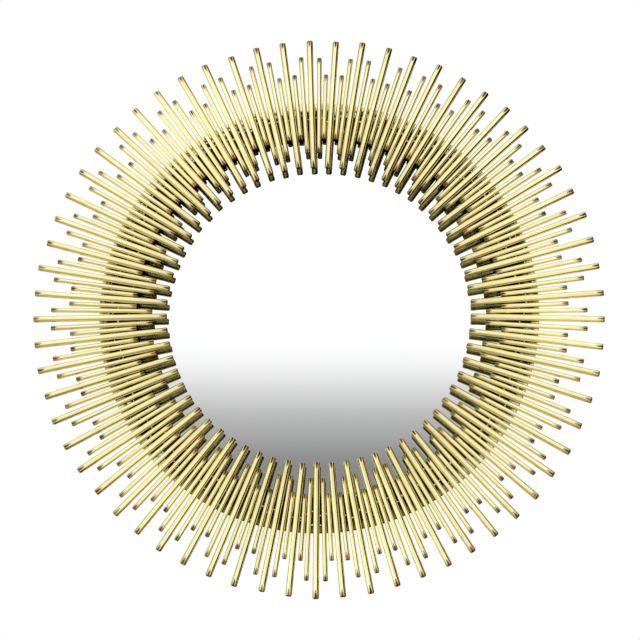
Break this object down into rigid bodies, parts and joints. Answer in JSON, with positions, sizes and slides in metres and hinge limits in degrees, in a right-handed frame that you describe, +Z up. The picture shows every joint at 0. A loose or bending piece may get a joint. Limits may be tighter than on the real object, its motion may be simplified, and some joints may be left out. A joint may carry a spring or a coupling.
{
  "type": "round sunburst wall mirror",
  "caption": "Round wall mirror whose frame is a burst of straight gold metal tubes in three alternating lengths, brazed to a ring around the glass.",
  "frame": {"origin": "centre of the hanging cleat's flat rear face, in the wall plane, 225 mm above the mirror's centre", "axes": "+Z up, +Y into the wall, -Y out of the glass towards the room, +X to the right as seen from the front"},
  "size_m": [0.9151, 0.0452, 0.9168],
  "materials": {
    "champagne_gold": "pale champagne gold plating, satin, with fine drawn lines along the tubes",
    "silvered_glass": "clear float glass silvered on the back",
    "fibreboard": "bare medium-density fibreboard",
    "zinc_steel": "zinc-plated steel",
    "plywood": "sanded birch plywood"
  },
  "bodies": {
    "root": {"sunburst_frame": "champagne_gold", "mirror_glass": "silvered_glass", "backing_board": "fibreboard", "board_screw_1": "zinc_steel", "board_screw_2": "zinc_steel", "board_screw_3": "zinc_steel", "board_screw_4": "zinc_steel", "board_screw_5": "zinc_steel", "board_screw_6": "zinc_steel", "hanging_cleat": "plywood", "spacer_batten": "plywood"}
  },
  "joints": []
}
